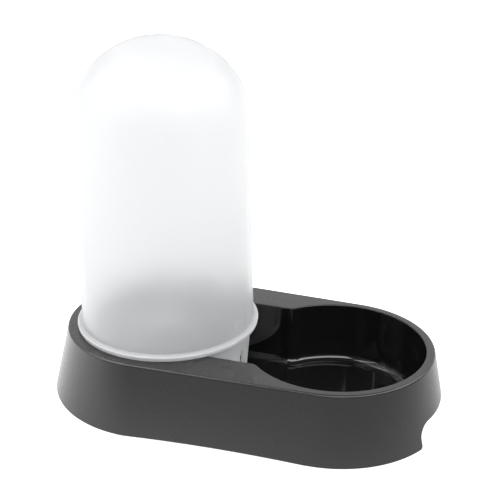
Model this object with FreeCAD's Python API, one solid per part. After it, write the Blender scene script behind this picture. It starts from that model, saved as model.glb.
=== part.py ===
"""Gravity pet feeder: a domed tank stands mouth down in the round well of a one-piece tray,
and water runs from the well through a neck into the bowl.

Frame: origin at the centre of the overall plan size, on the surface the feet stand on.
+X runs from the tank to the bowl, +Z is up. Millimetres and degrees.
"""
import FreeCAD, Part
import math
import os

V = FreeCAD.Vector
UP = V(0, 0, 1)

# Tray: plan outline
CENTRE_SPACING = 151.8      # tank axis to bowl axis
DECK_R_TANK = 87.4          # outline at the deck, tank end
DECK_R_BOWL = 82.3
FOOT_R_TANK = 101.9         # outline at the foot of the outer wall
FOOT_R_BOWL = 93.8
DECK_Z = 59.0               # top of the deck
WALL_FOOT_Z = 0.6           # lower edge of the outer wall at its ends
WALL_ARCH_RISE = 1.8        # how far the lower edge lifts at mid length
TRAY_WALL = 2.5
DECK_OUTER_ROUND = 1.9
DECK_INNER_ROUND = 1.0

# Tray: basin
BASIN_R = 75.1              # well and bowl, at the deck
NECK_HALF_WIDTH = 52.5
NECK_CORNER_R = 9.0
BASIN_DRAFT = 0.027         # radius lost per millimetre of depth
FLOOR_Z = 4.5
FLOOR_FILLET = 7.5

# Tray: finger notches, ribs and valve post
NOTCH_HALF_WIDTH = 41.0
NOTCH_TOP_Z = 20.0
NOTCH_CORNER_R = 12.0
NOTCH_LIP_R = 3.0           # rounds the wall's lower corners beside a notch
RIB_THICKNESS = 1.6
RIB_LOW_Z = 34.0
RIB_REACH = 60.0            # longer than the widest gap between basin and outer wall
RIB_ANGLES = (72.0, 98.0, 124.0, 150.0)  # either side of the bowl direction, at each end
POST_TOP_Z = 35.0
POST_TOP_R = 5.0
POST_BASE_R = 8.0

# Feet
PAD_R = 9.0
PAD_OFFSET_X = 34.0         # from the nearer end centre, outwards
PAD_OFFSET_Y = 42.0
PAD_EDGE = 0.5

# Tank
TANK_WALL = 2.2
TANK_R_MOUTH = 75.0
TANK_R_SHOULDER = 71.4
SHOULDER_Z = 243.9
SHOULDER_R = 58.5
TANK_TOP_Z = 307.6
TANK_FLANGE_R = 79.1
TANK_FLANGE_LOW_Z = 61.5
TANK_FLANGE_TOP_Z = 62.7
FLANGE_FILLET = 1.6
RIM_ROUND = 0.45
LUG_ROOT = 0.6              # how far a lug runs into the wall that carries it
LUG_COUNT = 4
LUG_FIRST_ANGLE = 45.0
TANK_LUG_ARC = 30.0
TANK_LUG_R = 70.6
TANK_LUG_LOW_Z = 63.4
TANK_LUG_TOP_Z = 65.4
STOP_GAP_ARC = 0.6
STOP_ARC = 2.0
STOP_TOP_Z = 67.6
MARK_RELIEF = 0.35
MARK_LOW_Z = 70.0
MARK_TOP_Z = 78.0
MARK_WIDTH = 1.1
MARK_ANGLES = (-5.5, -8.5, -11.5, -14.5)
ARROW_ANGLE = -19.0
ARROW_WIDTH = 4.6

# Outlet cup
CUP_FLANGE_R = 78.7
CUP_FLANGE_TOP_Z = 61.0
SKIRT_R_TOP = 72.9
SKIRT_R_FOOT = 68.8
SKIRT_FOOT_Z = 10.0
SKIRT_WALL = 2.5
SKIRT_FOOT_ROUND = 0.8
GROOVE_IN_R = 73.0
GROOVE_OUT_R = 77.6
GROOVE_Z = 60.1
GASKET_SIDE_GAP = 0.2
COLLAR_R = 69.9
COLLAR_WALL = 1.9
COLLAR_TOP_Z = 68.0
CUP_LUG_ARC = 26.0
CUP_LUG_R = 72.2
CUP_LUG_LOW_Z = 65.7
CUP_LUG_TOP_Z = 67.7
LEDGE_DEPTH = 2.4           # ring inside the skirt that the valve plate is welded to
LEDGE_EDGE = 1.0
LEDGE_LOW_Z = 45.0
SLOT_INNER_Y = 1.5          # half the rib between the two outlet slots
SLOT_OUTER_Y = 10.1
SLOT_LOW_Z = 14.0
SLOT_TOP_Z = 43.5
SLOT_CORNER_R = 2.0
SLOT_DEPTH = 20.0           # of the form that cuts a slot through the skirt

# Valve
PLATE_LOW_Z = 48.0
PLATE_TOP_Z = 50.5
PLATE_SIDE_GAP = 0.1
THROAT_R = 11.0
TUBE_R = 14.0
TUBE_FOOT_Z = 38.0
SEAT_Z = 51.5
SEAT_OUT_R = 12.6
SEAT_ROUND = 0.5
GUIDE_R = 4.5
GUIDE_LOW_Z = 43.0
GUIDE_TOP_Z = 46.0
GUIDE_ARM_WIDTH = 2.0
GUIDE_ARM_ANGLES = (60.0, 180.0, 300.0)
GUIDE_ARM_ROOT = 0.5
STEM_R = 2.52
STEM_CLEARANCE = 0.08
STEM_FOOT_Z = 36.0
LIFT = 4.0                  # how far the post holds the valve open
SEAT_PLAY = 0.1
SEAL_THICKNESS = 1.6
SEAL_R = 14.0
HUB_R = 5.0
HEAD_R = 14.2
HEAD_THICKNESS = 2.0
HEAD_ROUND = 0.8
BUTTON_R = 7.0
BUTTON_LOW_Z = 35.2
BUTTON_TOP_Z = 37.7
BUTTON_ROUND = 0.5
SPRING_R = 4.1
SPRING_WIRE_R = 0.5
SPRING_TURNS = 3.0
SPRING_END_GAP = 0.05

CUT_MARGIN = 5.0            # how far a cutting form runs past what it cuts

# Plan positions: the finger notches leave the wall above them as the furthest point of each end
NOTCH_SHARE = NOTCH_TOP_Z / DECK_Z
END_R_TANK = FOOT_R_TANK + (DECK_R_TANK - FOOT_R_TANK) * NOTCH_SHARE
END_R_BOWL = FOOT_R_BOWL + (DECK_R_BOWL - FOOT_R_BOWL) * NOTCH_SHARE
TANK_X = -(CENTRE_SPACING + END_R_BOWL - END_R_TANK) / 2
BOWL_X = TANK_X + CENTRE_SPACING

# Tank wall: angle to the upright, and where the shoulder's arc is centred
TAPER = math.atan((TANK_R_MOUTH - TANK_R_SHOULDER) / (SHOULDER_Z - TANK_FLANGE_TOP_Z))
SHOULDER_CENTRE_R = TANK_R_SHOULDER - SHOULDER_R

# Valve heights, with the post holding the valve open
SEAL_LOW_Z = SEAT_Z + LIFT + SEAT_PLAY
SEAL_TOP_Z = SEAL_LOW_Z + SEAL_THICKNESS
HEAD_TOP_Z = SEAL_TOP_Z + HEAD_THICKNESS


def circle_point(x, radius, angle, z):
    """Point on a circle about (x, 0), with the angle measured from +X."""
    a = math.radians(angle)
    return V(x + radius * math.cos(a), radius * math.sin(a), z)


def arc(start, middle, end):
    return Part.Arc(start, middle, end).toShape()


def line(start, end):
    return Part.LineSegment(start, end).toShape()


def outer_outline(r_tank, r_bowl, z):
    """Closed outline round two circles, joined by their outer tangents."""
    turn = math.degrees(math.asin((r_tank - r_bowl) / CENTRE_SPACING))
    tank = [circle_point(TANK_X, r_tank, a, z) for a in (90 - turn, 180, turn - 90)]
    bowl = [circle_point(BOWL_X, r_bowl, a, z) for a in (turn - 90, 0, 90 - turn)]
    return Part.Wire([arc(*tank), line(tank[2], bowl[0]), arc(*bowl), line(bowl[2], tank[0])])


def basin_outline(z, grow=0.0):
    """Outline of well, neck and bowl at a height, moved outwards by grow."""
    inset = BASIN_DRAFT * (DECK_Z - z)
    radius = BASIN_R - inset + grow
    neck = NECK_HALF_WIDTH - inset + grow
    corner = NECK_CORNER_R + inset - grow
    reach = math.sqrt((radius + corner) ** 2 - (neck + corner) ** 2)
    angle = math.degrees(math.atan2(neck + corner, reach))

    def side(x, turn, sign):
        """End of the neck by one end circle: (point on circle, middle of corner, point on neck)."""
        facing = 0 if turn > 0 else 180
        centre = V(x + turn * reach, sign * (neck + corner), z)
        on_circle = circle_point(x, radius, facing + turn * sign * angle, z)
        on_neck = V(centre.x, sign * neck, z)
        middle = (on_circle + on_neck) * 0.5 - centre
        return on_circle, centre + middle.normalize() * corner, on_neck

    well_up, well_down = side(TANK_X, 1, 1), side(TANK_X, 1, -1)
    bowl_up, bowl_down = side(BOWL_X, -1, 1), side(BOWL_X, -1, -1)
    return Part.Wire([
        arc(well_up[0], circle_point(TANK_X, radius, 180, z), well_down[0]),
        arc(*well_down),
        line(well_down[2], bowl_down[2]),
        arc(*reversed(bowl_down)),
        arc(bowl_down[0], circle_point(BOWL_X, radius, 0, z), bowl_up[0]),
        arc(*bowl_up),
        line(bowl_up[2], well_up[2]),
        arc(*reversed(well_up)),
    ])


def loft(*outlines):
    return Part.makeLoft(list(outlines), True, True)


def level_edges(shape, z, keep=lambda edge: True):
    """Edges that lie level at a height."""
    return [e for e in shape.Edges
            if all(abs(v.Z - z) < 1e-4 for v in e.Vertexes)
            and abs(e.BoundBox.ZMax - z) < 1e-3 and abs(e.BoundBox.ZMin - z) < 1e-3 and keep(e)]


def outer_form(inset, low_z, top_z):
    """The tray's outer form, drafted from foot to deck, set in by a wall thickness."""
    def outline(z):
        share = z / DECK_Z
        r_tank = FOOT_R_TANK + (DECK_R_TANK - FOOT_R_TANK) * share
        r_bowl = FOOT_R_BOWL + (DECK_R_BOWL - FOOT_R_BOWL) * share
        return outer_outline(r_tank - inset, r_bowl - inset, z)
    return loft(outline(low_z), outline(top_z))


def notch_form(facing, x):
    """Prism of one finger notch, long enough to pass the outer wall only."""
    low = WALL_FOOT_Z - CUT_MARGIN
    shoulder = NOTCH_TOP_Z - NOTCH_CORNER_R
    inner_y, outer_y = NOTCH_HALF_WIDTH - NOTCH_CORNER_R, NOTCH_HALF_WIDTH + NOTCH_LIP_R
    lean = NOTCH_CORNER_R * math.sin(math.radians(45))
    lip_lean = NOTCH_LIP_R * (1 - math.sin(math.radians(45)))
    start_x = x + facing * math.sqrt(BASIN_R ** 2 - NOTCH_HALF_WIDTH ** 2)

    def at(y, z):
        return V(start_x, y, z)

    def jamb(sign):
        """One side of the notch, from below the wall up to the level top edge."""
        return [
            line(at(sign * outer_y, low), at(sign * outer_y, WALL_FOOT_Z)),
            arc(at(sign * outer_y, WALL_FOOT_Z),
                at(sign * (NOTCH_HALF_WIDTH + lip_lean), WALL_FOOT_Z + lip_lean),
                at(sign * NOTCH_HALF_WIDTH, WALL_FOOT_Z + NOTCH_LIP_R)),
            line(at(sign * NOTCH_HALF_WIDTH, WALL_FOOT_Z + NOTCH_LIP_R),
                 at(sign * NOTCH_HALF_WIDTH, shoulder)),
            arc(at(sign * NOTCH_HALF_WIDTH, shoulder), at(sign * (inner_y + lean), shoulder + lean),
                at(sign * inner_y, NOTCH_TOP_Z)),
        ]

    edges = jamb(1) + jamb(-1) + [line(at(inner_y, NOTCH_TOP_Z), at(-inner_y, NOTCH_TOP_Z)),
                                  line(at(outer_y, low), at(-outer_y, low))]
    outline = Part.Wire(Part.__sortEdges__(edges))
    return Part.Face(outline).extrude(V(facing * BASIN_R, 0, 0))


def wall_arch():
    """Long flat cylinder that lifts the wall's lower edge at mid length."""
    half_span = CENTRE_SPACING / 2
    radius = half_span ** 2 / (2 * WALL_ARCH_RISE)
    middle_x = (TANK_X + BOWL_X) / 2
    half_width = FOOT_R_TANK + CUT_MARGIN
    base = V(middle_x, -half_width, WALL_FOOT_Z + WALL_ARCH_RISE - radius)
    return Part.makeCylinder(radius, 2 * half_width, base, V(0, 1, 0))


def stiffening_ribs(space):
    """Upright webs between the outer wall and the basin, under the deck."""
    webs = []
    for x, facing in ((TANK_X, 180), (BOWL_X, 0)):
        for angle in RIB_ANGLES:
            for sign in (1, -1):
                web = Part.makeBox(RIB_REACH, RIB_THICKNESS, DECK_Z - RIB_LOW_Z,
                                   V(BASIN_R - TRAY_WALL, -RIB_THICKNESS / 2, RIB_LOW_Z))
                web.rotate(V(), UP, facing + sign * (180 - angle))
                web.translate(V(x, 0, 0))
                webs.append(web.common(space))
    return webs


def make_tray():
    form = outer_form(0, WALL_FOOT_Z, DECK_Z)
    form = form.makeFillet(DECK_OUTER_ROUND, level_edges(form, DECK_Z))
    hollow = outer_form(TRAY_WALL, WALL_FOOT_Z - CUT_MARGIN, DECK_Z - TRAY_WALL)
    shell = form.cut(hollow)
    for x, facing in ((TANK_X, -1), (BOWL_X, 1)):
        shell = shell.cut(notch_form(facing, x))
    shell = shell.cut(wall_arch())

    pan = loft(basin_outline(FLOOR_Z - TRAY_WALL, TRAY_WALL), basin_outline(DECK_Z - 1, TRAY_WALL))
    pan = pan.makeFillet(FLOOR_FILLET + TRAY_WALL, level_edges(pan, FLOOR_Z - TRAY_WALL))
    cavity = loft(basin_outline(FLOOR_Z), basin_outline(DECK_Z + 1))
    cavity = cavity.makeFillet(FLOOR_FILLET, level_edges(cavity, FLOOR_Z))

    ribs = stiffening_ribs(hollow.cut(pan))
    tray = shell.fuse([pan] + ribs).cut(cavity)
    post = Part.makeCone(POST_BASE_R, POST_TOP_R, POST_TOP_Z - FLOOR_Z + 1, V(TANK_X, 0, FLOOR_Z - 1))
    tray = tray.fuse(post).removeSplitter()
    inner = level_edges(tray, DECK_Z, lambda e: e.BoundBox.YMax < BASIN_R + 1
                        and e.BoundBox.YMin > -BASIN_R - 1
                        and e.BoundBox.XMin > TANK_X - BASIN_R - 1
                        and e.BoundBox.XMax < BOWL_X + BASIN_R + 1)
    return tray.makeFillet(DECK_INNER_ROUND, inner)


def make_foot(x, y):
    height = FLOOR_Z - TRAY_WALL
    pad = Part.makeCylinder(PAD_R, height, V(x, y, 0))
    return pad.makeFillet(PAD_EDGE, level_edges(pad, 0))


def revolved(edges):
    """Solid of revolution about the tank's axis from profile edges drawn at y = 0."""
    face = Part.Face(Part.Wire(edges))
    solid = face.revolve(V(), UP, 360)
    solid.translate(V(TANK_X, 0, 0))
    return solid


def profile(*points):
    """Closed profile of straight edges through (radius, height) points."""
    corners = [V(r, 0, z) for r, z in points]
    return [line(a, b) for a, b in zip(corners, corners[1:] + corners[:1])]


def rim_edges(shape, *rims):
    """Circular edges of a revolved shape at (radius, height) pairs."""
    return [e for e in shape.Edges if not e.Degenerated for r, z in rims
            if isinstance(e.Curve, Part.Circle) and abs(e.Curve.Radius - r) < 1e-3
            and abs(e.Curve.Center.z - z) < 1e-3 and abs(e.Curve.Center.x - TANK_X) < 1e-3]


def sector(inner_r, outer_r, low_z, top_z, first_angle, arc_angle):
    """Ring sector about the tank's axis."""
    outline = profile((inner_r, low_z), (outer_r, low_z), (outer_r, top_z), (inner_r, top_z))
    piece = Part.Face(Part.Wire(outline)).revolve(V(), UP, arc_angle)
    piece.rotate(V(), UP, first_angle)
    piece.translate(V(TANK_X, 0, 0))
    return piece


def shoulder_point(inset, angle):
    """Point on the arc between the tank's wall and crown, at an angle above the horizontal."""
    radius = SHOULDER_R - inset
    return V(SHOULDER_CENTRE_R + radius * math.cos(angle), 0, SHOULDER_Z + radius * math.sin(angle))


def tank_wall_r(z, inset=0.0):
    """Radius of the tank's tapered wall at a height, set in by a wall thickness."""
    top = shoulder_point(inset, TAPER)
    return top.x + (top.z - z) * math.tan(TAPER)


def dome_edges(inset):
    """Profile from the top of the tapered wall, over shoulder and crown, to the axis."""
    rise = TANK_TOP_Z - SHOULDER_Z
    crown_r = (SHOULDER_CENTRE_R ** 2 + rise ** 2 - SHOULDER_R ** 2) / (2 * (rise - SHOULDER_R))
    crown_z = TANK_TOP_Z - crown_r
    meet = math.atan2(SHOULDER_Z - crown_z, SHOULDER_CENTRE_R)
    middle = (meet + math.pi / 2) / 2
    radius = crown_r - inset
    on_crown = V(radius * math.cos(middle), 0, crown_z + radius * math.sin(middle))
    start, end = shoulder_point(inset, TAPER), shoulder_point(inset, meet)
    return [arc(start, shoulder_point(inset, (TAPER + meet) / 2), end),
            arc(end, on_crown, V(0, 0, TANK_TOP_Z - inset))]


def tank_relief():
    """Raised ticks and an arrow that say which side of the tank faces the bowl."""
    low, top = MARK_LOW_Z - MARK_WIDTH, MARK_TOP_Z + MARK_WIDTH
    skin = revolved(profile((tank_wall_r(low) - LUG_ROOT, low), (tank_wall_r(low) + MARK_RELIEF, low),
                            (tank_wall_r(top) + MARK_RELIEF, top), (tank_wall_r(top) - LUG_ROOT, top)))
    start_x = tank_wall_r(low) - CUT_MARGIN
    marks = []
    for angle in MARK_ANGLES:
        tick = Part.makeBox(2 * CUT_MARGIN, MARK_WIDTH, MARK_TOP_Z - MARK_LOW_Z,
                            V(start_x, -MARK_WIDTH / 2, MARK_LOW_Z))
        tick.rotate(V(), UP, angle)
        marks.append(tick)
    corners = [V(start_x, -ARROW_WIDTH / 2, MARK_TOP_Z), V(start_x, ARROW_WIDTH / 2, MARK_TOP_Z),
               V(start_x, 0, MARK_LOW_Z)]
    arrow = Part.Face(Part.makePolygon(corners + corners[:1])).extrude(V(2 * CUT_MARGIN, 0, 0))
    arrow.rotate(V(), UP, ARROW_ANGLE)
    marks.append(arrow)
    for mark in marks:
        mark.translate(V(TANK_X, 0, 0))
    return [mark.common(skin) for mark in marks]


def make_tank_shell():
    inner_r, wall_foot_r = tank_wall_r(TANK_FLANGE_LOW_Z, TANK_WALL), tank_wall_r(TANK_FLANGE_TOP_Z)
    mouth_in, mouth_out = V(inner_r, 0, TANK_FLANGE_LOW_Z), V(TANK_FLANGE_R, 0, TANK_FLANGE_LOW_Z)
    rim_top, wall_foot = V(TANK_FLANGE_R, 0, TANK_FLANGE_TOP_Z), V(wall_foot_r, 0, TANK_FLANGE_TOP_Z)
    edges = [line(mouth_in, mouth_out), line(mouth_out, rim_top), line(rim_top, wall_foot),
             line(wall_foot, shoulder_point(0, TAPER))] + dome_edges(0)
    edges += [line(V(0, 0, TANK_TOP_Z), V(0, 0, TANK_TOP_Z - TANK_WALL))]
    edges += dome_edges(TANK_WALL)[::-1] + [line(shoulder_point(TANK_WALL, TAPER), mouth_in)]
    tank = revolved(Part.__sortEdges__(edges))
    tank = tank.makeFillet(FLANGE_FILLET, rim_edges(tank, (wall_foot_r, TANK_FLANGE_TOP_Z)))
    tank = tank.makeFillet(RIM_ROUND, rim_edges(tank, (TANK_FLANGE_R, TANK_FLANGE_LOW_Z),
                                                (TANK_FLANGE_R, TANK_FLANGE_TOP_Z)))
    added = tank_relief()
    root_r = inner_r + LUG_ROOT
    for i in range(LUG_COUNT):
        middle = LUG_FIRST_ANGLE + i * 360 / LUG_COUNT
        start, end = middle - TANK_LUG_ARC / 2, middle + CUP_LUG_ARC / 2 + STOP_GAP_ARC
        added.append(sector(TANK_LUG_R, root_r, TANK_LUG_LOW_Z, TANK_LUG_TOP_Z, start, TANK_LUG_ARC))
        added.append(sector(TANK_LUG_R, root_r, TANK_LUG_LOW_Z, STOP_TOP_Z, end, STOP_ARC))
    return tank.fuse(added).removeSplitter()


def skirt_radius(z):
    share = (z - SKIRT_FOOT_Z) / (DECK_Z - SKIRT_FOOT_Z)
    return SKIRT_R_FOOT + (SKIRT_R_TOP - SKIRT_R_FOOT) * share


def skirt_inner_r(z):
    return skirt_radius(z) - SKIRT_WALL


def slot_form(sign):
    """Prism of one outlet slot, beside the rib that faces the bowl."""
    low_y = SLOT_INNER_Y if sign > 0 else -SLOT_OUTER_Y
    prism = Part.makeBox(SLOT_DEPTH, SLOT_OUTER_Y - SLOT_INNER_Y, SLOT_TOP_Z - SLOT_LOW_Z,
                         V(TANK_X + SKIRT_R_FOOT - SLOT_DEPTH / 2, low_y, SLOT_LOW_Z))
    along = [e for e in prism.Edges if abs(e.tangentAt(e.FirstParameter).x) > 0.9]
    return prism.makeFillet(SLOT_CORNER_R, along)


def make_outlet_cup():
    """Tapered skirt with its flange, bayonet collar and two outlet slots."""
    collar_in = COLLAR_R - COLLAR_WALL
    step_top_z = (DECK_Z + CUP_FLANGE_TOP_Z) / 2
    step_low_z = step_top_z - (skirt_inner_r(DECK_Z) - collar_in)
    ledge_in = skirt_inner_r(PLATE_LOW_Z) - LEDGE_DEPTH
    foot_in = skirt_inner_r(SKIRT_FOOT_Z)
    cup = revolved(profile(
        (SKIRT_R_TOP, DECK_Z), (CUP_FLANGE_R, DECK_Z), (CUP_FLANGE_R, CUP_FLANGE_TOP_Z),
        (GROOVE_OUT_R, CUP_FLANGE_TOP_Z), (GROOVE_OUT_R, GROOVE_Z),
        (GROOVE_IN_R, GROOVE_Z), (GROOVE_IN_R, CUP_FLANGE_TOP_Z),
        (COLLAR_R, CUP_FLANGE_TOP_Z), (COLLAR_R, COLLAR_TOP_Z), (collar_in, COLLAR_TOP_Z),
        (collar_in, step_top_z), (skirt_inner_r(step_low_z), step_low_z),
        (skirt_inner_r(PLATE_LOW_Z), PLATE_LOW_Z), (ledge_in, PLATE_LOW_Z),
        (ledge_in, PLATE_LOW_Z - LEDGE_EDGE), (skirt_inner_r(LEDGE_LOW_Z), LEDGE_LOW_Z),
        (foot_in, SKIRT_FOOT_Z), (SKIRT_R_FOOT, SKIRT_FOOT_Z)))
    flange_rim = rim_edges(cup, (CUP_FLANGE_R, DECK_Z), (CUP_FLANGE_R, CUP_FLANGE_TOP_Z))
    cup = cup.makeFillet(RIM_ROUND, flange_rim)
    foot_rim = rim_edges(cup, (SKIRT_R_FOOT, SKIRT_FOOT_Z), (foot_in, SKIRT_FOOT_Z))
    cup = cup.makeFillet(SKIRT_FOOT_ROUND, foot_rim)
    lugs = []
    for i in range(LUG_COUNT):
        start = LUG_FIRST_ANGLE + i * 360 / LUG_COUNT - CUP_LUG_ARC / 2
        lugs.append(sector(COLLAR_R - LUG_ROOT, CUP_LUG_R, CUP_LUG_LOW_Z, CUP_LUG_TOP_Z, start, CUP_LUG_ARC))
    return cup.fuse(lugs).cut([slot_form(1), slot_form(-1)]).removeSplitter()


def make_valve_plate():
    """Disc across the cup with the valve's seat and outlet tube, and a guide for the stem."""
    plate_r = skirt_inner_r(PLATE_LOW_Z) - PLATE_SIDE_GAP
    plate = revolved(profile(
        (THROAT_R, TUBE_FOOT_Z), (TUBE_R, TUBE_FOOT_Z), (TUBE_R, PLATE_LOW_Z), (plate_r, PLATE_LOW_Z),
        (plate_r, PLATE_TOP_Z), (SEAT_OUT_R, PLATE_TOP_Z), (SEAT_OUT_R, SEAT_Z), (THROAT_R, SEAT_Z)))
    plate = plate.makeFillet(SEAT_ROUND, rim_edges(plate, (SEAT_OUT_R, SEAT_Z), (THROAT_R, SEAT_Z)))
    height = GUIDE_TOP_Z - GUIDE_LOW_Z
    guide = Part.makeCylinder(GUIDE_R, height, V(0, 0, GUIDE_LOW_Z))
    arms = []
    for angle in GUIDE_ARM_ANGLES:
        arm = Part.makeBox(THROAT_R + GUIDE_ARM_ROOT, GUIDE_ARM_WIDTH, height,
                           V(0, -GUIDE_ARM_WIDTH / 2, GUIDE_LOW_Z))
        arm.rotate(V(), UP, angle)
        arms.append(arm)
    hole = Part.makeCylinder(STEM_R + STEM_CLEARANCE, height, V(0, 0, GUIDE_LOW_Z))
    guide = guide.fuse(arms).cut(hole)
    guide.translate(V(TANK_X, 0, 0))
    return plate.fuse(guide).removeSplitter()


def make_flange_gasket():
    inner, outer = GROOVE_IN_R + GASKET_SIDE_GAP, GROOVE_OUT_R - GASKET_SIDE_GAP
    return revolved(profile((inner, GROOVE_Z), (outer, GROOVE_Z), (outer, TANK_FLANGE_LOW_Z),
                            (inner, TANK_FLANGE_LOW_Z)))


def make_valve_plunger():
    plunger = revolved(profile((0, STEM_FOOT_Z), (STEM_R, STEM_FOOT_Z), (STEM_R, SEAL_LOW_Z),
                               (HUB_R, SEAL_LOW_Z), (HUB_R, SEAL_TOP_Z), (HEAD_R, SEAL_TOP_Z),
                               (HEAD_R, HEAD_TOP_Z), (0, HEAD_TOP_Z)))
    return plunger.makeFillet(HEAD_ROUND, rim_edges(plunger, (HEAD_R, HEAD_TOP_Z)))


def make_valve_seal():
    return revolved(profile((HUB_R, SEAL_LOW_Z), (SEAL_R, SEAL_LOW_Z), (SEAL_R, SEAL_TOP_Z),
                            (HUB_R, SEAL_TOP_Z)))


def make_valve_button():
    button = revolved(profile((0, BUTTON_LOW_Z), (BUTTON_R, BUTTON_LOW_Z), (BUTTON_R, BUTTON_TOP_Z),
                              (STEM_R, BUTTON_TOP_Z), (STEM_R, STEM_FOOT_Z), (0, STEM_FOOT_Z)))
    rims = rim_edges(button, (BUTTON_R, BUTTON_LOW_Z), (BUTTON_R, BUTTON_TOP_Z))
    return button.makeFillet(BUTTON_ROUND, rims)


def make_valve_spring():
    """Compression spring between the guide and the button."""
    margin = SPRING_WIRE_R + SPRING_END_GAP
    low_z, top_z = BUTTON_TOP_Z + margin, GUIDE_LOW_Z - margin
    path = Part.makeHelix((top_z - low_z) / SPRING_TURNS, top_z - low_z, SPRING_R)
    circle = Part.Circle(V(SPRING_R, 0, 0), V(0, 1, 0), SPRING_WIRE_R)
    spring = Part.Wire(path).makePipeShell([Part.Wire(circle.toShape())], True, True)
    spring.translate(V(TANK_X, 0, low_z))
    return spring


def main():
    nodes = {
        "tray": make_tray(),
        "tank_shell": make_tank_shell(),
        "outlet_cup": make_outlet_cup(),
        "valve_plate": make_valve_plate(),
        "flange_gasket": make_flange_gasket(),
        "valve_plunger": make_valve_plunger(),
        "valve_seal": make_valve_seal(),
        "valve_button": make_valve_button(),
        "valve_spring": make_valve_spring(),
    }
    places = [(x, y) for x in (TANK_X - PAD_OFFSET_X, BOWL_X + PAD_OFFSET_X)
              for y in (-PAD_OFFSET_Y, PAD_OFFSET_Y)]
    for number, (x, y) in enumerate(places, 1):
        nodes["foot_%d" % number] = make_foot(x, y)

    os.makedirs("parts", exist_ok=True)
    for name, shape in nodes.items():
        box = shape.BoundBox
        print("%-14s valid %s solids %d volume %8.2f cm3  x %.1f..%.1f y %.1f..%.1f z %.1f..%.1f" % (
            name, shape.isValid(), len(shape.Solids), shape.Volume / 1000,
            box.XMin, box.XMax, box.YMin, box.YMax, box.ZMin, box.ZMax))
        shape.exportStep("parts/%s.step" % name)


main()
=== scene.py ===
"""Gravity pet feeder: looks, stage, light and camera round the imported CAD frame. Metres."""

import math

import bpy
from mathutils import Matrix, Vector


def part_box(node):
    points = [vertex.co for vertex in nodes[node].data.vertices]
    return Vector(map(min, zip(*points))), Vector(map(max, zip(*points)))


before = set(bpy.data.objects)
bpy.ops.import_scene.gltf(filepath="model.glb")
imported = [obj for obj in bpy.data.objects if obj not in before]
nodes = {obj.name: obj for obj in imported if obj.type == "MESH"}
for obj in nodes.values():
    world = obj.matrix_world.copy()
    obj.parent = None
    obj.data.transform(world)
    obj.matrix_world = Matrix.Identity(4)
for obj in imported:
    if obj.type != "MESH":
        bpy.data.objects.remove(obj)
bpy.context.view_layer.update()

scene = bpy.context.scene

# Places read from the frame
cup_low, cup_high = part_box("outlet_cup")
TANK_X = (cup_low.x + cup_high.x) / 2
PLATE_LOW_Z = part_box("valve_plate")[0].z
TANK_LOW_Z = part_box("tank_shell")[0].z
DECK_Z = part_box("tray")[1].z

# Basin outline, as the tray has it
CENTRE_SPACING = 0.1518
BOWL_X = TANK_X + CENTRE_SPACING
BASIN_R = 0.0751
NECK_HALF_WIDTH = 0.0525
NECK_HALF_LENGTH = 0.03
MASK_MARGIN = 0.0003                    # outwards, so that the basin's own walls are inside
POLISH_AND_SHADE_LOW_Z = DECK_Z - 0.0012          # the basin's polish and its painted shade fade out over the rim's rounding
POLISH_AND_SHADE_TOP_Z = DECK_Z - 0.0004

# Camera
VIEW_AZIMUTH = 18.8
VIEW_ELEVATION = 23.02
VIEW_DISTANCE = 0.8178
VIEW_TARGET = Vector((TANK_X + 0.0759, 0, 0.13465))
LENS_MM = 70.9
SENSOR_MM = 36

# Studio
STAGE_CENTRE = Vector((0, 0, 0.1))
FLOOR_HALF = 40.0
DARK_AZIMUTH = VIEW_AZIMUTH + 18        # the studio's dim side; its bright side is opposite
FLOOR_BRIGHT, FLOOR_DIM = 1.7, 0.2      # glow of the floor behind the object and in front of it
WALL_BRIGHT, WALL_DIM = 1.08, 0.16      # the same for the surround
CEILING_SHARE = 0.25                    # of the surround's light, overhead

# Plastics
TRAY_DARK = (0.0155, 0.0155, 0.0157, 1)
TRAY_LIGHT = (0.017, 0.017, 0.0172, 1)
# painted shade: the basin's colour is a darker black than the deck's plastic, standing in for the shade
# in the recess
BASIN_PAINTED_SHADE = (0.006, 0.006, 0.0062, 1)
TANK_TINT = (0.914, 0.92, 0.927, 1)
CUP_TINT = (0.95, 0.953, 0.96, 1)
PLATE_TINT = (0.84, 0.85, 0.86, 1)
THICK_CLEAR_SHARE = 0.1                 # how much of the thick, milky plastic shows clear
MILK_SKIN_SHARE = 0.5                   # of the milky scatter, the share that stays on the lit side


# ---------------------------------------------------------------- node helpers

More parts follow.
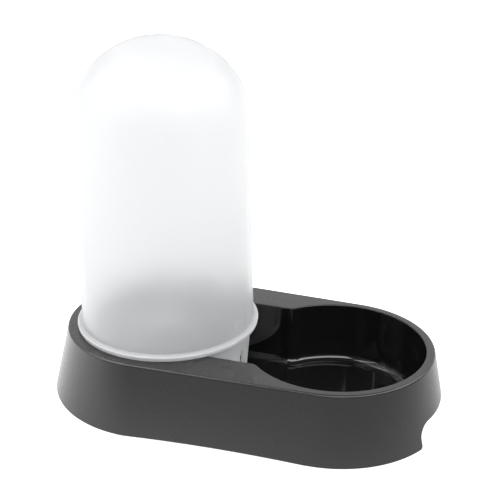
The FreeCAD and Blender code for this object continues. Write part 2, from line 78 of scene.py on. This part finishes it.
class Nodes:
    """A shader node tree, built from left to right."""

    def __init__(self, tree, output):
        self.tree = tree
        self.tree.nodes.clear()
        self.output = self.tree.nodes.new(output)

    def new(self, kind, **settings):
        node = self.tree.nodes.new("ShaderNode" + kind)
        for key, value in settings.items():
            setattr(node, key, value)
        return node

    def link(self, source, target):
        self.tree.links.new(source, target)

    def put(self, target, value):
        """Links a socket or sets a constant."""
        if isinstance(value, bpy.types.NodeSocket):
            self.link(value, target)
        elif value is not None:
            target.default_value = value

    def math(self, operation, a, b=None, c=None):
        node = self.new("Math", operation=operation)
        for socket, value in zip(node.inputs, (a, b, c)):
            self.put(socket, value)
        return node.outputs[0]

    def ramp(self, value, low, high, start=0.0, end=1.0):
        """Smooth step of a value from low..high to start..end."""
        node = self.new("MapRange", interpolation_type="SMOOTHSTEP")
        for socket, v in zip(node.inputs, (value, low, high, start, end)):
            self.put(socket, v)
        return node.outputs[0]

    def noise(self, scale, detail=3.0, roughness=0.5, stretch=(1, 1, 1)):
        mapping = self.new("Mapping")
        mapping.inputs["Scale"].default_value = stretch
        self.link(self.position(), mapping.inputs["Vector"])
        node = self.new("TexNoise")
        self.link(mapping.outputs[0], node.inputs["Vector"])
        node.inputs["Scale"].default_value = scale
        node.inputs["Detail"].default_value = detail
        node.inputs["Roughness"].default_value = roughness
        return node.outputs["Fac"]

    def position(self):
        return self.new("TexCoord").outputs["Object"]

    def xyz(self):
        node = self.new("SeparateXYZ")
        self.link(self.position(), node.inputs[0])
        return node.outputs

    def mix_number(self, factor, a, b):
        node = self.new("Mix", data_type="FLOAT")
        for socket, value in zip(node.inputs, (factor, None, a, b)):
            self.put(socket, value)
        return node.outputs[0]

    def mix(self, factor, a, b):
        """Mix of two colours."""
        node = self.new("Mix", data_type="RGBA")
        self.put(node.inputs[0], factor)
        self.put(node.inputs[6], a)
        self.put(node.inputs[7], b)
        return node.outputs[2]

    def mix_shaders(self, factor, a, b):
        node = self.new("MixShader")
        for socket, value in zip(node.inputs, (factor, a, b)):
            self.put(socket, value)
        return node.outputs[0]

    def bump(self, height, distance, strength=0.5):
        node = self.new("Bump")
        node.inputs["Strength"].default_value = strength
        node.inputs["Distance"].default_value = distance
        self.put(node.inputs["Height"], height)
        return node.outputs[0]

    def principled(self, **inputs):
        node = self.new("BsdfPrincipled")
        for name, value in inputs.items():
            self.put(node.inputs[name.replace("_", " ")], value)
        return node

    def finish(self, shader):
        self.link(shader, self.output.inputs["Surface"])


class Material(Nodes):
    """A named material and its node tree."""

    def __init__(self, name):
        self.material = bpy.data.materials.new(name)
        self.material.use_nodes = True
        super().__init__(self.material.node_tree, "ShaderNodeOutputMaterial")

    def finish(self, shader):
        super().finish(shader)
        return self.material


def grey(value, blue=0.0):
    return (value, value, value + blue, 1.0)


# ------------------------------------------------------------------- materials

def basin_mask(n):
    """1 inside the basin's outline and below its rim, 0 on the deck and outer wall."""
    x, y, z = n.xyz()

    def inside(centre_x):
        dx = n.math("SUBTRACT", x, centre_x)
        reach = n.math("SQRT", n.math("ADD", n.math("MULTIPLY", dx, dx), n.math("MULTIPLY", y, y)))
        return n.math("LESS_THAN", reach, BASIN_R + MASK_MARGIN)

    middle_x = (TANK_X + BOWL_X) / 2
    across = n.math("LESS_THAN", n.math("ABSOLUTE", y), NECK_HALF_WIDTH + MASK_MARGIN)
    off_middle = n.math("ABSOLUTE", n.math("SUBTRACT", x, middle_x))
    neck = n.math("MULTIPLY", across, n.math("LESS_THAN", off_middle, NECK_HALF_LENGTH))
    plan = n.math("MAXIMUM", n.math("MAXIMUM", inside(TANK_X), inside(BOWL_X)), neck)
    return n.math("MULTIPLY", plan, n.ramp(z, POLISH_AND_SHADE_LOW_Z, POLISH_AND_SHADE_TOP_Z, 1.0, 0.0))


def tray_plastic():
    """Black plastic, satin outside and polished in the basin, with painted shade making the basin's
    colour darker.
    """
    n = Material("tray_black_plastic")
    basin = basin_mask(n)
    grain = n.noise(2600, 4, 0.6)
    mottle = n.noise(38, 3, 0.5)
    satin = n.math("MULTIPLY_ADD", mottle, 0.02, 0.265)
    polished = n.math("MULTIPLY_ADD", mottle, 0.03, 0.05)
    roughness = n.mix_number(basin, satin, polished)
    # painted shade: inside the basin the colour turns to a darker black than the deck's
    colour = n.mix(basin, n.mix(mottle, TRAY_DARK, TRAY_LIGHT), BASIN_PAINTED_SHADE)
    grain_height = n.math("MULTIPLY", grain, n.math("SUBTRACT", 1.0, basin))
    normal = n.bump(grain_height, 0.00006, 0.6)
    shader = n.principled(Base_Color=colour, Roughness=roughness, IOR=1.56, Normal=normal)
    return n.finish(shader.outputs[0])


def frosted_plastic(name, tint, clear_share, roughness, thick_low, thick_high):
    """Frosted polypropylene: rough clear plastic with white scatter, nearly all scatter below
    thick_low and the given share of clear above thick_high."""
    n = Material(name)
    frost = n.noise(1800, 3, 0.6)
    cloud = n.noise(14, 2, 0.5)
    fine = n.math("MULTIPLY_ADD", frost, 0.05, roughness - 0.05)
    rough = n.math("ADD", fine, n.math("MULTIPLY", cloud, 0.04))
    normal = n.bump(frost, 0.00004)
    clear = n.principled(Base_Color=tint, Roughness=rough, IOR=1.4, Transmission_Weight=1.0,
                         Normal=normal)
    body = n.new("BsdfTranslucent")
    n.put(body.inputs["Color"], tint)
    n.link(normal, body.inputs["Normal"])
    skin = n.principled(Base_Color=tint, Roughness=rough, IOR=1.45, Normal=normal)
    milk = n.mix_shaders(MILK_SKIN_SHARE, body.outputs[0], skin.outputs[0])
    share = n.ramp(n.xyz()[2], thick_low, thick_high, THICK_CLEAR_SHARE, clear_share)
    return n.finish(n.mix_shaders(share, milk, clear.outputs[0]))


def soft_rubber(name, colour, roughness):
    n = Material(name)
    dust = n.noise(900, 4, 0.6)
    tone = n.mix(dust, colour, tuple(min(1, c * 1.25) for c in colour[:3]) + (1,))
    normal = n.bump(dust, 0.0001)
    shader = n.principled(Base_Color=tone, Roughness=roughness, IOR=1.5, Normal=normal)
    return n.finish(shader.outputs[0])


def satin_plastic(name, colour, roughness):
    n = Material(name)
    cloud = n.noise(220, 3, 0.5)
    tone = n.mix(cloud, colour, tuple(c * 0.93 for c in colour[:3]) + (1,))
    rough = n.math("MULTIPLY_ADD", cloud, 0.08, roughness)
    shader = n.principled(Base_Color=tone, Roughness=rough, IOR=1.48,
                          Normal=n.bump(n.noise(2400, 3, 0.5), 0.00003))
    return n.finish(shader.outputs[0])


def drawn_wire():
    n = Material("spring_wire")
    draw = n.noise(700, 3, 0.6, stretch=(1, 1, 6))
    tone = n.mix(draw, grey(0.5), grey(0.68, 0.01))
    rough = n.math("MULTIPLY_ADD", draw, 0.15, 0.22)
    shader = n.principled(Base_Color=tone, Metallic=1.0, Roughness=rough,
                          Normal=n.bump(draw, 0.00002))
    return n.finish(shader.outputs[0])


def dress(names, material):
    """Gives CAD nodes a material."""
    for name in names:
        node = nodes[name]
        node.data.materials.clear()
        node.data.materials.append(material)


def dress_all():
    tank = frosted_plastic("frosted_tank", TANK_TINT, 0.66, 0.36, TANK_LOW_Z + 0.001, TANK_LOW_Z + 0.003)
    cup = frosted_plastic("frosted_cup", CUP_TINT, 0.75, 0.4, TANK_LOW_Z - 0.001, TANK_LOW_Z)
    plate = frosted_plastic("clear_plate", PLATE_TINT, 0.6, 0.3, PLATE_LOW_Z - 0.002, PLATE_LOW_Z)
    silicone = soft_rubber("silicone", (0.7, 0.71, 0.72, 1), 0.5)
    valve = satin_plastic("valve_satin", (0.62, 0.64, 0.66, 1), 0.35)
    pad = soft_rubber("foot_rubber", (0.03, 0.03, 0.03, 1), 0.8)
    dress(["tray"], tray_plastic())
    dress(["tank_shell"], tank)
    dress(["outlet_cup"], cup)
    dress(["valve_plate"], plate)
    dress(["flange_gasket", "valve_seal"], silicone)
    dress(["valve_plunger", "valve_button"], valve)
    dress(["valve_spring"], drawn_wire())
    dress(["foot_%d" % number for number in range(1, 5)], pad)


# --------------------------------------------------------- stage, light, camera

def horizontal(azimuth):
    """Level unit vector; azimuth 0 looks back along -Y, as the camera's azimuth does."""
    a = math.radians(azimuth)
    return Vector((math.sin(a), -math.cos(a), 0))


def direction_to(azimuth, elevation):
    """Unit vector from the object towards an azimuth and elevation."""
    e = math.radians(elevation)
    return horizontal(azimuth) * math.cos(e) + Vector((0, 0, math.sin(e)))


def along(n, vector, azimuth):
    """How far a vector socket reaches in a level direction."""
    node = n.new("VectorMath", operation="DOT_PRODUCT")
    n.link(vector, node.inputs[0])
    node.inputs[1].default_value = horizontal(azimuth)
    return node.outputs["Value"]


def make_floor():
    """White floor: plain white to the eye, and lights the object more from behind than in front."""
    mesh = bpy.data.meshes.new("floor")
    corners = [(x * FLOOR_HALF, y * FLOOR_HALF, 0) for x, y in ((-1, -1), (1, -1), (1, 1), (-1, 1))]
    mesh.from_pydata(corners, [], [(0, 1, 2, 3)])
    floor = bpy.data.objects.new("floor", mesh)
    scene.collection.objects.link(floor)
    n = Material("floor_white")
    lit = n.principled(Base_Color=(0.3, 0.3, 0.3, 1), Roughness=0.9, Specular_IOR_Level=0.0)
    lit.inputs["Emission Color"].default_value = (1, 1, 1, 1)
    glow = n.ramp(along(n, n.position(), DARK_AZIMUTH), -0.25, 0.35, FLOOR_BRIGHT, FLOOR_DIM)
    seen = n.new("LightPath").outputs["Is Camera Ray"]
    n.link(n.math("MAXIMUM", glow, seen), lit.inputs["Emission Strength"])
    mesh.materials.append(n.finish(lit.outputs[0]))


def make_world():
    """Studio surround: plain white to the eye, lit from behind and dim above and in front."""
    world = bpy.data.worlds.new("studio")
    world.use_nodes = True
    n = Nodes(world.node_tree, "ShaderNodeOutputWorld")
    direction = n.new("TexCoord").outputs["Generated"]
    split = n.new("SeparateXYZ")
    n.link(direction, split.inputs[0])
    backdrop = n.ramp(along(n, direction, DARK_AZIMUTH), -0.5, 0.7, WALL_BRIGHT, WALL_DIM)
    ceiling = n.ramp(split.outputs[2], 0.55, 0.85, 1.0, CEILING_SHARE)
    background = n.new("Background")
    background.inputs["Color"].default_value = (1, 1, 1, 1)
    seen = n.new("LightPath").outputs["Is Camera Ray"]
    strength = n.math("MAXIMUM", n.math("MULTIPLY", backdrop, ceiling), seen)
    n.link(strength, background.inputs["Strength"])
    n.finish(background.outputs[0])
    scene.world = world


def softbox(name, azimuth, elevation, distance, size, power):
    """Soft light that faces the object from a direction, measured as the camera's is."""
    place = STAGE_CENTRE + direction_to(azimuth, elevation) * distance
    data = bpy.data.lights.new(name, "AREA")
    data.shape = "RECTANGLE"
    data.size, data.size_y = size
    data.energy = power
    lamp = bpy.data.objects.new(name, data)
    lamp.location = place
    lamp.rotation_mode = "QUATERNION"
    lamp.rotation_quaternion = (STAGE_CENTRE - place).to_track_quat("-Z", "Y")
    scene.collection.objects.link(lamp)


def make_lights():
    softbox("key_front", VIEW_AZIMUTH + 15, 50, 1.6, (1.7, 0.7), 20)
    softbox("key_left", VIEW_AZIMUTH - 85, 50, 1.5, (1.2, 1.2), 17)
    softbox("fill_right", VIEW_AZIMUTH + 76, 40, 1.6, (0.8, 0.8), 9)
    softbox("rim_right", VIEW_AZIMUTH + 110, 40, 1.6, (0.5, 0.9), 6)


def make_camera():
    back = direction_to(VIEW_AZIMUTH, VIEW_ELEVATION)
    data = bpy.data.cameras.new("camera")
    data.lens = LENS_MM
    data.sensor_width = SENSOR_MM
    data.clip_start, data.clip_end = 0.05, 50
    camera = bpy.data.objects.new("camera", data)
    camera.location = VIEW_TARGET + back * VIEW_DISTANCE
    camera.rotation_mode = "QUATERNION"
    camera.rotation_quaternion = (-back).to_track_quat("-Z", "Y")
    scene.collection.objects.link(camera)
    scene.camera = camera


dress_all()
make_floor()
make_world()
make_lights()
make_camera()
scene.view_settings.view_transform = "Standard"
